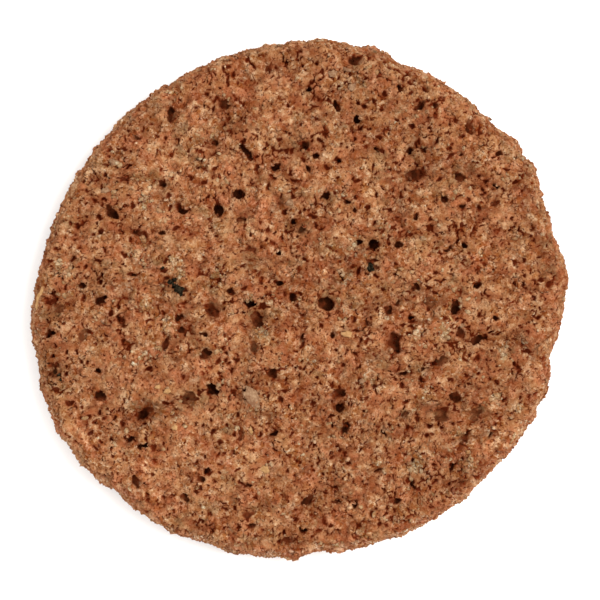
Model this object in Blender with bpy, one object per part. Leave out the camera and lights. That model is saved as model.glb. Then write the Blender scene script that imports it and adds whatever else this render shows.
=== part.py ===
"""An oat and honey biscuit: one baked round with an uneven rim, open pits in both faces and proud crumbs.

The biscuit lies flat with the middle of its box over the origin, its underside at z = 0 and +Z up.
It is one closed solid. Each face is a net of triangles drawn through a scatter of crumb points, which is
denser round the pits, and rows of points carry the rim from one face to the other.
"""

import math
import random

import bmesh
import bpy
from mathutils import Vector, noise
from mathutils.geometry import delaunay_2d_cdt

MM = 0.001

# ---------------------------------------------------------------- driving dimensions

MEAN_RADIUS = 32.5 * MM
RIM_THICKNESS = 7.2 * MM
CROWN = 0.9 * MM

# Slow lobes of the outline: how many round the rim, height, and where one of them peaks, in degrees.
LOBES = (
    (1, 0.29 * MM, -116),
    (2, 0.85 * MM, 28),
    (3, 0.29 * MM, -32),
    (4, 0.15 * MM, 20),
    (5, 0.05 * MM, 18),
    (6, 0.13 * MM, 21),
)

# Local swells and bites in the outline: where, in degrees, height out of the rim, half width in degrees.
SWELLS = (
    (4.5, 0.60 * MM, 3.5),
    (14.5, -0.62 * MM, 3.5),
    (21.5, -0.50 * MM, 2.8),
    (29.5, 0.46 * MM, 2.5),
    (36, 0.47 * MM, 3.2),
    (45, -0.26 * MM, 4.5),
    (67, -0.42 * MM, 2.5),
    (73.5, 0.30 * MM, 2.2),
    (85, 0.25 * MM, 2.5),
    (94, -0.28 * MM, 1.8),
    (121, -0.20 * MM, 2.0),
    (131, 0.20 * MM, 5.0),
    (141, -0.15 * MM, 2.5),
    (182, 0.14 * MM, 3.5),
    (193, -0.32 * MM, 3.0),
    (209, 0.32 * MM, 2.0),
    (217, 0.30 * MM, 1.8),
    (227.5, -0.43 * MM, 3.2),
    (242, 0.28 * MM, 2.6),
    (255, 0.22 * MM, 2.5),
    (269, 0.50 * MM, 1.5),
    (275, -0.48 * MM, 3.0),
    (293, 0.33 * MM, 2.0),
    (298, 0.18 * MM, 2.5),
    (309, 0.28 * MM, 2.0),
    (318, -0.30 * MM, 4.5),
    (333.5, 0.38 * MM, 2.0),
    (339, 0.38 * MM, 2.2),
    (348, -0.55 * MM, 3.2),
)

# The rim from the upper face to the underside: share of the rim's thickness, and how far inside the
# outline. Dough that spreads in the oven is widest low down, and its upper edge is the rounder one.
RIM_ROWS = (
    (1.00, 2.00 * MM),
    (0.95, 1.12 * MM),
    (0.86, 0.60 * MM),
    (0.72, 0.27 * MM),
    (0.56, 0.08 * MM),
    (0.40, 0.00 * MM),
    (0.22, 0.12 * MM),
    (0.08, 0.44 * MM),
    (0.00, 1.10 * MM),
)
RIM_POINTS = 144
RIM_SWELL = (2.6 * MM, 0.36 * MM)
RIM_JITTER = 0.09 * MM

# The widest pits of the upper face: centre x and y, length, width, and where the length points in degrees.
WIDE_PITS = (
    (3.2 * MM, -0.5 * MM, 1.8 * MM, 1.6 * MM, 0),
    (9.1 * MM, 6.8 * MM, 1.4 * MM, 1.2 * MM, 0),
    (11.7 * MM, -5.2 * MM, 2.6 * MM, 1.4 * MM, 100),
    (16.0 * MM, -0.2 * MM, 1.8 * MM, 1.4 * MM, 150),
    (19.2 * MM, -0.9 * MM, 1.7 * MM, 1.0 * MM, 80),
    (21.8 * MM, -4.9 * MM, 2.2 * MM, 0.9 * MM, 20),
    (17.3 * MM, -7.5 * MM, 2.2 * MM, 1.2 * MM, 30),
    (19.3 * MM, -12.1 * MM, 1.6 * MM, 1.3 * MM, 0),
    (4.7 * MM, -11.5 * MM, 1.8 * MM, 1.1 * MM, 15),
    (17.3 * MM, -14.3 * MM, 2.2 * MM, 1.4 * MM, 160),
    (21.8 * MM, -14.0 * MM, 2.4 * MM, 1.2 * MM, 60),
    (20.3 * MM, -17.4 * MM, 2.8 * MM, 0.8 * MM, 62),
    (1.0 * MM, -24.7 * MM, 2.2 * MM, 0.9 * MM, 42),
    (11.8 * MM, -24.8 * MM, 1.8 * MM, 0.7 * MM, 10),
    (14.3 * MM, 15.5 * MM, 2.8 * MM, 1.2 * MM, 15),
    (19.7 * MM, 15.2 * MM, 1.5 * MM, 1.2 * MM, 170),
    (4.6 * MM, 24.0 * MM, 1.5 * MM, 0.8 * MM, 110),
    (7.0 * MM, 28.8 * MM, 2.0 * MM, 1.0 * MM, 5),
    (14.8 * MM, 24.0 * MM, 1.6 * MM, 0.8 * MM, 35),
    (21.0 * MM, 21.2 * MM, 2.0 * MM, 0.9 * MM, 105),
    (-7.5 * MM, 13.0 * MM, 1.5 * MM, 1.2 * MM, 160),
    (-10.2 * MM, 11.0 * MM, 1.8 * MM, 1.3 * MM, 110),
    (-23.2 * MM, 10.8 * MM, 2.2 * MM, 1.2 * MM, 125),
    (-6.7 * MM, 18.2 * MM, 2.6 * MM, 0.9 * MM, 130),
    (-16.0 * MM, 23.0 * MM, 2.0 * MM, 1.0 * MM, 82),
    (-5.3 * MM, -2.4 * MM, 2.2 * MM, 1.3 * MM, 120),
    (-10.8 * MM, -1.4 * MM, 2.0 * MM, 1.3 * MM, 125),
    (-16.6 * MM, -5.5 * MM, 1.8 * MM, 0.9 * MM, 60),
    (-10.8 * MM, -10.9 * MM, 1.7 * MM, 1.1 * MM, 140),
    (-13.6 * MM, -12.2 * MM, 2.0 * MM, 1.5 * MM, 110),
    (-19.2 * MM, -14.0 * MM, 2.4 * MM, 1.1 * MM, 40),
    (-24.7 * MM, -11.8 * MM, 1.6 * MM, 1.1 * MM, 145),
    (-24.6 * MM, 0.0 * MM, 1.5 * MM, 1.0 * MM, 30),
    (-29.7 * MM, -1.0 * MM, 1.6 * MM, 1.2 * MM, 150),
    (-26.8 * MM, -4.5 * MM, 2.0 * MM, 1.0 * MM, 60),
    (-7.2 * MM, -16.2 * MM, 2.2 * MM, 0.8 * MM, 80),
    (-6.2 * MM, -26.3 * MM, 2.0 * MM, 0.9 * MM, 15),
    (-3.3 * MM, -9.0 * MM, 1.3 * MM, 1.1 * MM, 0),
)
WIDE_PIT_DEPTH = 1.0 * MM

# Oat husk and bits of oat in the upper face that stand a little proud: the same five sizes.
OAT_BITS = (
    (-5.6 * MM, -12.0 * MM, 2.4 * MM, 1.2 * MM, 115),
    (6.0 * MM, -4.1 * MM, 1.6 * MM, 0.8 * MM, 0),
    (-4.6 * MM, -20.5 * MM, 1.2 * MM, 0.9 * MM, 130),
    (-6.1 * MM, -16.0 * MM, 1.2 * MM, 0.6 * MM, 110),
    (-16.3 * MM, -11.2 * MM, 1.2 * MM, 0.7 * MM, 30),
)
OAT_BIT_RISE = 0.18 * MM

# Smaller pits and proud crumbs, strewn over a face: how many, and their smallest and largest widths.
UPPER_PITS = (130, 0.60 * MM, 1.10 * MM)
UPPER_CRUMBS = (100, 0.80 * MM, 1.70 * MM)
UNDERSIDE_PITS = (70, 0.80 * MM, 1.60 * MM)
PIT_DEPTH_SHARE = 0.75
CRUMB_HEIGHT_SHARE = 0.22
CLEAR_GAP = 0.35 * MM
EDGE_MARGIN = 2.6 * MM

# The crumb between them.
UPPER_SPACING = 1.65 * MM
UNDERSIDE_SPACING = 3.0 * MM
SLOW_SWELL = (9.0 * MM, 0.26 * MM)
CRUMB_SWELL = (2.2 * MM, 0.26 * MM)
UNDERSIDE_SWELL = (5.0 * MM, 0.50 * MM)
UNDERSIDE_SETTLED = 0.10 * MM

SEED = 11
CRUST_COLOUR = (0.30, 0.115, 0.045, 1.0)
CRUST_ROUGHNESS = 0.85


# ---------------------------------------------------------------- outline and relief


def outline_radius(angle):
    """How far the widest row of the rim is from the middle, at an angle in radians."""
    degrees = math.degrees(angle)
    radius = MEAN_RADIUS
    for count, height, peak in LOBES:
        radius += height * math.cos(math.radians(count * (degrees - peak)))
    for centre, height, half_width in SWELLS:
        away = (degrees - centre + 180) % 360 - 180
        radius += height * math.exp(-((away / half_width) ** 2))
    return radius


def swell(place, wavelength, height):
    """A smooth rise and fall of the crumb, up to about height either way."""
    return height * noise.noise(Vector(place) / wavelength + Vector((SEED, SEED, SEED)))


def upper_height(x, y):
    """The upper face between its pits and crumbs: a low crown that falls towards the rim."""
    place = (x, y, RIM_THICKNESS)
    crown = CROWN * max(0.0, 1 - (math.hypot(x, y) / MEAN_RADIUS) ** 4)
    return RIM_THICKNESS + crown + swell(place, *SLOW_SWELL) + swell(place, *CRUMB_SWELL)


def underside_height(x, y):
    """The underside is flat where the dough settled on its tray, and elsewhere a little hollow."""
    return max(0.0, swell((x, y, 0.0), *UNDERSIDE_SWELL) - UNDERSIDE_SETTLED)


# ---------------------------------------------------------------- pits and crumbs


class Spot:
    """A pit or a proud crumb: an uneven oval ring of points, round points that are lower or higher."""

    def __init__(self, x, y, length, width, turned, rise, points, rng):
        self.x, self.y = x, y
        self.reach = length / 2
        self.ring = []
        self.middle = []
        turn = math.radians(turned)
        for i in range(points):
            around = math.tau * (i + rng.uniform(-0.2, 0.2)) / points
            uneven = rng.uniform(0.86, 1.0)
            along = uneven * length / 2 * math.cos(around)
            across = uneven * width / 2 * math.sin(around)
            out_x = along * math.cos(turn) - across * math.sin(turn)
            out_y = along * math.sin(turn) + across * math.cos(turn)
            self.ring.append((x + out_x, y + out_y, 0.0))
            if i % 2 == 0:
                share = 0.55
                level = rise * rng.uniform(0.8, 1.0)
                self.middle.append((x + share * out_x, y + share * out_y, level))

    def clear_of(self, x, y, reach):
        return math.hypot(self.x - x, self.y - y) > self.reach + reach


def placed_spots(rng):
    """The pits and the bits of oat that have a place of their own on the upper face."""
    pits = [Spot(*sizes, -WIDE_PIT_DEPTH, 8, rng) for sizes in WIDE_PITS]
    bits = [Spot(*sizes, OAT_BIT_RISE, 8, rng) for sizes in OAT_BITS]
    return pits + bits


def strewn(taken, amount, smallest, largest, rise_share, rng):
    """Adds spots at random places that are clear of those already taken. Small ones are commoner."""
    left = amount
    while left:
        angle = rng.uniform(0, math.tau)
        from_middle = (outline_radius(angle) - EDGE_MARGIN) * math.sqrt(rng.random())
        x, y = from_middle * math.cos(angle), from_middle * math.sin(angle)
        width = smallest + (largest - smallest) * rng.random() ** 2
        length = width * rng.uniform(1.0, 1.5)
        if all(spot.clear_of(x, y, length / 2 + CLEAR_GAP) for spot in taken):
            turned = rng.uniform(0, 180)
            taken.append(Spot(x, y, length, width, turned, rise_share * width, 6, rng))
            left -= 1
    return taken


# ---------------------------------------------------------------- faces and rim


def rim_row(level, inset, half_step, rng):
    """One row of points round the rim. Rows half a step apart keep upright ribs out of the crumb."""
    row = []
    for i in range(RIM_POINTS):
        angle = math.tau * (i + half_step) / RIM_POINTS
        radius = outline_radius(angle) - inset
        place = Vector((radius * math.cos(angle), radius * math.sin(angle), level))
        crag = swell(place, *RIM_SWELL) + rng.uniform(-RIM_JITTER, RIM_JITTER)
        row.append(place * (1 + crag / radius))
        row[-1].z = level
    return row


def scatter(spots, spacing, edge_inset, rng):
    """Points in staggered rows over the face, each moved a little, clear of the spots and of the rim."""
    rows = int(MEAN_RADIUS * 2.2 / spacing)
    found = []
    for j in range(-rows // 2, rows // 2 + 1):
        for i in range(-rows // 2, rows // 2 + 1):
            x = (i + 0.5 * (j % 2) + rng.uniform(-0.28, 0.28)) * spacing
            y = (j * math.sqrt(0.75) + rng.uniform(-0.28, 0.28)) * spacing
            edge = outline_radius(math.atan2(y, x)) - edge_inset - 0.5 * spacing
            if math.hypot(x, y) < edge and all(s.clear_of(x, y, CLEAR_GAP) for s in spots):
                found.append((x, y))
    return found


def face_net(mesh, border, spots, spacing, edge_inset, height_at, rng):
    """Draws a net of triangles through the border row, the spots and the scatter between them.

    The border is a list of vertices that are already in the mesh, so the net shares them with the rim.
    """
    places = [(v.co.x, v.co.y, v.co.z) for v in border]
    for spot in spots:
        for x, y, rise in spot.ring + spot.middle:
            places.append((x, y, height_at(x, y) + rise))
    for x, y in scatter(spots, spacing, edge_inset, rng):
        places.append((x, y, height_at(x, y)))
    loop = [(i, (i + 1) % len(border)) for i in range(len(border))]
    flat = [Vector(place[:2]) for place in places]
    only_inside = 1
    _, _, triangles, sources, _, _ = delaunay_2d_cdt(flat, loop, [], only_inside, 1e-7)
    corners = border + [mesh.verts.new(place) for place in places[len(border):]]
    for triangle in triangles:
        mesh.faces.new([corners[sources[k][0]] for k in triangle])


def rim_wall(mesh, rows):
    """Joins each row of the rim to the next with a band of triangles. An odd row is half a step ahead."""
    for j, (upper, lower) in enumerate(zip(rows, rows[1:])):
        for i in range(RIM_POINTS):
            following = (i + 1) % RIM_POINTS
            a, b = upper[i], upper[following]
            c, d = lower[following], lower[i]
            if j % 2:
                mesh.faces.new((a, d, c))
                mesh.faces.new((a, c, b))
            else:
                mesh.faces.new((a, d, b))
                mesh.faces.new((b, d, c))


def biscuit_mesh():
    """The whole biscuit as one closed mesh, centred on its own box."""
    rng = random.Random(SEED)
    mesh = bmesh.new()
    rows = []
    for j, (share, inset) in enumerate(RIM_ROWS):
        row = rim_row(RIM_THICKNESS * share, inset, 0.5 * (j % 2), rng)
        rows.append([mesh.verts.new(place) for place in row])
    rim_wall(mesh, rows)

    upper = placed_spots(rng)
    upper = strewn(upper, *UPPER_PITS, -PIT_DEPTH_SHARE, rng)
    upper = strewn(upper, *UPPER_CRUMBS, CRUMB_HEIGHT_SHARE, rng)
    upper_inset = RIM_ROWS[0][1]
    face_net(mesh, rows[0], upper, UPPER_SPACING, upper_inset, upper_height, rng)

    underside = strewn([], *UNDERSIDE_PITS, PIT_DEPTH_SHARE, rng)
    under_inset = RIM_ROWS[-1][1]
    face_net(mesh, rows[-1], underside, UNDERSIDE_SPACING, under_inset, underside_height, rng)

    bmesh.ops.recalc_face_normals(mesh, faces=mesh.faces)
    xs = [v.co.x for v in mesh.verts]
    ys = [v.co.y for v in mesh.verts]
    middle = Vector(((min(xs) + max(xs)) / 2, (min(ys) + max(ys)) / 2, 0))
    bmesh.ops.translate(mesh, verts=mesh.verts, vec=-middle)
    return mesh


# ---------------------------------------------------------------- the object


def crust_material():
    """Baked oat crumb, browned by the honey in it: matt, with no metal in it."""
    material = bpy.data.materials.new("baked_oat_crumb")
    material.use_nodes = True
    shader = material.node_tree.nodes["Principled BSDF"]
    shader.inputs["Base Color"].default_value = CRUST_COLOUR
    shader.inputs["Roughness"].default_value = CRUST_ROUGHNESS
    shader.inputs["Metallic"].default_value = 0.0
    return material


def main():
    for old in list(bpy.data.objects):
        bpy.data.objects.remove(old)
    data = bpy.data.meshes.new("biscuit")
    mesh = biscuit_mesh()
    mesh.to_mesh(data)
    mesh.free()
    data.materials.append(crust_material())
    biscuit = bpy.data.objects.new("biscuit", data)
    bpy.context.scene.collection.objects.link(biscuit)


main()
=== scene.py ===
# %% [markdown]
# # An oat and honey biscuit
# The frame is the imported solid: one baked round, 8.5 mm thick, with its widest pits in place. This script
# gives it the crumb that the solid leaves out: granules, pores, flakes of bran and husk, and their colours.
# The frame is loaded first. The sizes below are in millimetres and repeat the solid's own driving sizes.

# %% Load the frame
import itertools
import math

import bpy
import numpy as np
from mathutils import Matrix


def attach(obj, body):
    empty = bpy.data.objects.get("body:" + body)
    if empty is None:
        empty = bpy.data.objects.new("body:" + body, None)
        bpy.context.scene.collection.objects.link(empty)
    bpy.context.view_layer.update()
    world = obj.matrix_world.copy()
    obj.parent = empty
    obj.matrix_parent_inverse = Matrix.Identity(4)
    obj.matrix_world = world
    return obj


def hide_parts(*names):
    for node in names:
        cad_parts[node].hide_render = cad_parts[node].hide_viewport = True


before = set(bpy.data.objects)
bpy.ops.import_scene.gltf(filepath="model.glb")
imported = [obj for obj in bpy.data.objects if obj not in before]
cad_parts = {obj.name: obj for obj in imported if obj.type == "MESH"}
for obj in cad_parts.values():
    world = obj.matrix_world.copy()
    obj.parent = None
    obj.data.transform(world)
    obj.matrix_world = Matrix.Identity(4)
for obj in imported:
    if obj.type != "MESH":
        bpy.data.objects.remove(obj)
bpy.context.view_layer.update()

MM = 0.001

# %% [markdown]
# ## Camera
# The photo looks straight down, and up in the picture is +Y. A long lens keeps the rim from leaning
# outwards, as in a flat scan. The picture is 600 pixels wide, and the biscuit's mean width of 65 mm covers
# 523.6 of them. That sets how much the lens sees, and so how far away it stands.

# %% Camera
PICTURE_PX = 600
MEAN_WIDTH_PX = 523.6
MEAN_RADIUS = 32.5
RIM_THICKNESS = 7.2
WIDEST_SHARE = 0.40
SEEN_WIDTH = PICTURE_PX / MEAN_WIDTH_PX * 2 * MEAN_RADIUS * MM

lens = bpy.data.cameras.new("camera")
lens.lens = 300
lens.sensor_width = 36
away = SEEN_WIDTH * lens.lens / lens.sensor_width
camera = bpy.data.objects.new("camera", lens)
camera.location = (0, 0, WIDEST_SHARE * RIM_THICKNESS * MM + away)
lens.clip_start = 0.1 * away
lens.clip_end = 10 * away
bpy.context.scene.collection.objects.link(camera)
bpy.context.scene.camera = camera
print("camera", round(away, 3), "m above the widest row, sees", round(SEEN_WIDTH / MM, 1), "mm")

# %% [markdown]
# ## Meshes and materials
# Every step below makes meshes from whole arrays and gives materials colours. So three helpers come first:
# one turns a hex colour into the numbers that shaders work in, one starts a material, and one puts points
# and faces into a mesh at once, which is far quicker than adding them one by one.

# %% Helpers for meshes and materials
def linear(text):
    """A hex colour in sRGB as the linear red, green, blue and alpha that the shaders use."""
    shares = [int(text[i:i + 2], 16) / 255 for i in (0, 2, 4)]
    return [s / 12.92 if s <= 0.04045 else ((s + 0.055) / 1.055) ** 2.4 for s in shares] + [1.0]


def new_material(name):
    """An empty material, its node tree and its Principled shader."""
    material = bpy.data.materials.new(name)
    material.use_nodes = True
    shader = material.node_tree.nodes["Principled BSDF"]
    return material, material.node_tree, shader


def mesh_object(name, points, faces, smooth=True):
    """A mesh object at the origin from arrays of points in metres and of faces with equal corner counts."""
    data = bpy.data.meshes.new(name)
    sides = faces.shape[1]
    data.vertices.add(len(points))
    data.vertices.foreach_set("co", np.asarray(points, np.float32).ravel())
    data.loops.add(faces.size)
    data.loops.foreach_set("vertex_index", np.asarray(faces, np.int32).ravel())
    data.polygons.add(len(faces))
    data.polygons.foreach_set("loop_start", np.arange(0, faces.size, sides, dtype=np.int32))
    data.polygons.foreach_set("use_smooth", np.full(len(faces), smooth))
    data.update()
    data.validate()
    made = bpy.data.objects.new(name, data)
    bpy.context.scene.collection.objects.link(made)
    return made


print("mid grey is", round(linear("808080")[0], 3), "in a shader")

# %% [markdown]
# ## Floor and light
# A white card under the biscuit and light from all round it give the shadowless look of a product photo. One
# broad lamp, up and to the right, gives the granules a lit side and the pits a dark wall. An area lamp was
# chosen over a sun because its soft edge suits crumb: a hard one would draw a black line in every crease.

# %% Floor and light
# In metres, apart from the strengths.
FLOOR_HALF = 3.0
FLOOR_DROP = 0.02 * MM
SKY_STRENGTH = 1.51
LAMP_WATTS = 4.8
LAMP_WIDTH = 0.5
LAMP_PLACE = (0.38, 0.12, 0.65)

corners = np.array([(-1, -1, 0), (1, -1, 0), (1, 1, 0), (-1, 1, 0)], float) * FLOOR_HALF
corners[:, 2] = -FLOOR_DROP
floor = mesh_object("floor", corners, np.array([[0, 1, 2, 3]]), smooth=False)

# Matt white card: it scatters nearly all the light that falls on it.
card, tree, shader = new_material("matt_white_card")
shader.inputs["Base Color"].default_value = linear("F9F8F6")
shader.inputs["Roughness"].default_value = 0.9
shader.inputs["Specular IOR Level"].default_value = 0.1
floor.data.materials.append(card)

world = bpy.data.worlds.new("studio")
bpy.context.scene.world = world
world.use_nodes = True
sky = world.node_tree.nodes["Background"]
sky.inputs["Color"].default_value = linear("FFFFFF")
sky.inputs["Strength"].default_value = SKY_STRENGTH

lamp = bpy.data.lights.new("softbox", "AREA")
lamp.shape = "DISK"
lamp.size = LAMP_WIDTH
lamp.energy = LAMP_WATTS
softbox = bpy.data.objects.new("softbox", lamp)
softbox.location = LAMP_PLACE
softbox.rotation_euler = softbox.location.to_track_quat("Z", "Y").to_euler()
bpy.context.scene.collection.objects.link(softbox)
bpy.context.scene.view_settings.view_transform = "Standard"
print("floor, world and softbox made")

# %% [markdown]
# ## Noise made from whole numbers
# Baked crumb is uneven at every size, so its shape needs noise that is the same each run. The corners of a
# lattice get numbers by mixing the bits of their coordinates. The simplest field read from them rolls
# smoothly from corner to corner.

# %% Rolling noise
def corner_number(cell, salt):
    """A number from 0 to 1 for each lattice cell: whole coordinates times odd numbers, then bits mixed."""
    cell = cell.astype(np.int64).astype(np.uint32)
    mixed = cell[:, 0] * np.uint32(0x8DA6B343) + cell[:, 1] * np.uint32(0xD8163841)
    mixed = mixed + cell[:, 2] * np.uint32(0xCB1AB31F) + np.uint32(salt * 7919)
    mixed = (mixed ^ (mixed >> np.uint32(15))) * np.uint32(0x2C1B3C6D)
    mixed = (mixed ^ (mixed >> np.uint32(12))) * np.uint32(0x297A2D39)
    mixed = mixed ^ (mixed >> np.uint32(15))
    return (mixed & np.uint32(0xFFFFFF)).astype(np.float32) / np.float32(0xFFFFFF)


def rolling(points, size, salt):
    """Smooth noise from -1 to 1: corner numbers of a lattice of this size, blended by s*s*(3 - 2s)."""
    place = points / size
    low = np.floor(place)
    part = place - low
    ease = part * part * (3 - 2 * part)
    total = np.zeros(len(points), np.float32)
    for corner in np.ndindex(2, 2, 2):
        weight = np.prod(np.where(corner, ease, 1 - ease), axis=1)
        total += weight * corner_number(low + corner, salt)
    return 2 * total - 1


sample = np.random.default_rng(1).uniform(0, 50, (20000, 3))
print("rolling noise spreads by", rolling(sample, 2.0, 1).std().round(3))

# %% [markdown]
# ## Granules and bubbles
# Flour bakes into granules that touch, and gas leaves round holes between them. Both come from one point put
# at random in each cube of a lattice. A granule is what lies nearest to its point, so neighbours meet in
# creases. A bubble is a ball round its point, in some of the cubes only.

# %% Granules and bubbles
def granules(points, size, salt):
    """Distance to the three nearest of one point in each cube of the lattice, in cube sides."""
    place = (points / size).astype(np.float32)
    low = np.floor(place)
    first = np.full(len(points), 9, np.float32)
    second, third = first.copy(), first.copy()
    for step in np.ndindex(3, 3, 3):
        cell = low + np.array(step) - 1
        centre = cell + np.stack([corner_number(cell, salt + k) for k in range(3)], axis=1)
        away = np.linalg.norm(place - centre, axis=1)
        third = np.minimum(third, np.maximum(second, away))
        second = np.minimum(second, np.maximum(first, away))
        first = np.minimum(first, away)
    return first, second, third


def bubbles(points, size, share, least, most, stretch, salt):
    """How far each point is into a gas bubble, from 1 at its middle to 0 at its wall and beyond. A share of
    the lattice's cubes hold one. Its radius runs from least to most, small ones commoner, and it is up to
    stretch times as long along a direction of its own."""
    place = points.astype(np.float32)
    low = np.floor(place / size)
    deepest = np.zeros(len(points), np.float32)
    for step in np.ndindex(3, 3, 3):
        cell = low + np.array(step) - 1
        numbers = [corner_number(cell, salt + k) for k in range(8)]
        centre = (cell + np.stack(numbers[:3], axis=1)) * size
        off = place - centre
        radius = least + (most - least) * numbers[3] ** 2
        turn, rise = 2 * math.pi * numbers[4], 1.2 * (numbers[5] - 0.5)
        along = off[:, 0] * np.cos(turn) + off[:, 1] * np.sin(turn)
        along = along * np.sqrt(1 - rise * rise) + off[:, 2] * rise
        longer = 1 + (stretch - 1) * numbers[6]
        away = np.sqrt(np.maximum((off * off).sum(1) - along * along * (1 - 1 / longer ** 2), 0))
        inside = np.where(numbers[7] < share, 1 - away / radius, 0)
        deepest = np.maximum(deepest, inside)
    return deepest


print("nearest granule is", granules(sample, 1.0, 2)[0].mean().round(3), "of a cube away")

# %% [markdown]
# ## Outline and profile
# The outline is a circle with a few slow lobes and local swells, the same as the solid's. In profile the
# dough spread in the oven: it is widest low down, its upper edge is rounder than the lower one, and the
# upper face rises in a low crown. From here on shapes are worked out in millimetres, and turned to metres as
# they become a mesh.

# %% Outline and profile
# Lobes: how many, how high, and where one peaks in degrees. Swells: where in degrees, how high, how wide.
LOBES = ((1, 0.29, -116), (2, 0.85, 28), (3, 0.29, -32), (4, 0.15, 20), (5, 0.05, 18), (6, 0.13, 21))
SWELLS = (
    (4.5, 0.60, 3.5), (14.5, -0.62, 3.5), (21.5, -0.50, 2.8), (29.5, 0.46, 2.5), (36, 0.47, 3.2),
    (45, -0.26, 4.5), (67, -0.42, 2.5), (73.5, 0.30, 2.2), (85, 0.25, 2.5), (94, -0.28, 1.8),
    (121, -0.20, 2.0), (131, 0.20, 5.0), (141, -0.15, 2.5), (182, 0.14, 3.5), (193, -0.32, 3.0),
    (209, 0.32, 2.0), (217, 0.30, 1.8), (227.5, -0.43, 3.2), (242, 0.28, 2.6), (255, 0.22, 2.5),
    (269, 0.50, 1.5), (275, -0.48, 3.0), (293, 0.33, 2.0), (298, 0.18, 2.5), (309, 0.28, 2.0),
    (318, -0.30, 4.5), (333.5, 0.38, 2.0), (339, 0.38, 2.2), (348, -0.55, 3.2),
)
UPPER_EDGE = 2.0
LOWER_EDGE = 1.1
CROWN = 0.9


def outline_radius(angle):
    """Mean radius, plus a cosine for each lobe, plus a bell curve for each swell. Angles in radians."""
    degrees = np.degrees(angle)
    radius = np.full(np.shape(degrees), MEAN_RADIUS)
    for count, height, peak in LOBES:
        radius += height * np.cos(np.radians(count * (degrees - peak)))
    for centre, height, half_width in SWELLS:
        off = (degrees - centre + 180) % 360 - 180
        radius += height * np.exp(-((off / half_width) ** 2))
    return radius


def rim_inset(share):
    """How far the rim lies inside the outline at a share of its thickness: a rounded quarter, with powers
    2.3 and 2.2, above the widest row, and a tighter one, with 2.6 and 2.2, below it."""
    above = np.clip((share - WIDEST_SHARE) / (1 - WIDEST_SHARE), 0, 1)
    below = np.clip((WIDEST_SHARE - share) / WIDEST_SHARE, 0, 1)
    upper = UPPER_EDGE * (1 - (1 - above ** 2.3) ** (1 / 2.2))
    lower = LOWER_EDGE * (1 - (1 - below ** 2.6) ** (1 / 2.2))
    return upper + lower


def crown_level(reach):
    """The upper face: the rim's thickness, and a crown of 1 - reach to the fourth power."""
    return RIM_THICKNESS + CROWN * (1 - reach ** 4)


def tray_level(reach):
    """The underside lies flat on the tray."""
    return 0 * reach


turns = np.linspace(0, 2 * math.pi, 720, endpoint=False)
edge = outline_radius(turns)
middle_x = (edge * np.cos(turns)).min() / 2 + (edge * np.cos(turns)).max() / 2
middle_y = (edge * np.sin(turns)).min() / 2 + (edge * np.sin(turns)).max() / 2
MIDDLE = np.array([middle_x, middle_y, 0])
print("outline", edge.min().round(2), "to", edge.max().round(2), "mm from its middle", MIDDLE.round(2))

# %% [markdown]
# ## The bare form
# Each half of the biscuit is one grid: a square of points carried onto a disc, then rows that follow the
# profile down, or up, to the widest row. Rings of a disc would crowd at its middle, and this map keeps the
# cells alike, so the crumb is as fine everywhere. The biscuit is cut at its widest row because a piece may
# have 200,000 triangles and the upper face needs them all. Each half turns in past the cut and is closed by
# a lid inside the other.

# %% A grid over a disc
def disc_grid(count):
    """A square of count by count points on the unit disc. A point at a, b, where a is the larger, goes to
    radius a and angle (quarter pi) * b / a, which keeps areas equal."""
    side = np.linspace(-1, 1, count)
    a, b = np.meshgrid(side, side, indexing="ij")
    wide = np.abs(a) > np.abs(b)
    with np.errstate(divide="ignore", invalid="ignore"):
        angle = np.where(wide, math.pi / 4 * b / a, math.pi / 2 - math.pi / 4 * a / b)
    radius = np.where(wide, a, b)
    angle = np.nan_to_num(angle)
    return radius * np.cos(angle), radius * np.sin(angle)


def grid_faces(index):
    """Two triangles for each cell of a grid of point numbers."""
    a, b = index[:-1, :-1].ravel(), index[1:, :-1].ravel()
    c, d = index[1:, 1:].ravel(), index[:-1, 1:].ravel()
    return np.concatenate([np.stack([a, b, c], 1), np.stack([a, c, d], 1)])


# Points along a side of the square: at 600 a cell is 0.11 mm wide, which a granule of 0.5 mm needs.
GRID = 600
print("grid of", GRID, "by", GRID, "points on each face")

# %% [markdown]
# ## The two halves
# A half is its face, the rows of its rim and its lid, all closed into one skin. The rows crowd a little
# towards the face, where the edge turns most. The last row runs past the widest one and tucks in, so that
# the two halves overlap and no gap shows between them from the side.

# %% The two halves
# How far the last row turns in, in mm, and how far it runs past the widest one, as a share of the thickness.
TUCK = 0.5
OVERLAP = 0.06
# Rows of each rim, and the power that crowds them towards the face.
UPPER_ROWS, UPPER_CROWDING = GRID // 11, 1.15
LOWER_ROWS, LOWER_CROWDING = GRID // 18, 1.1


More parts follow.
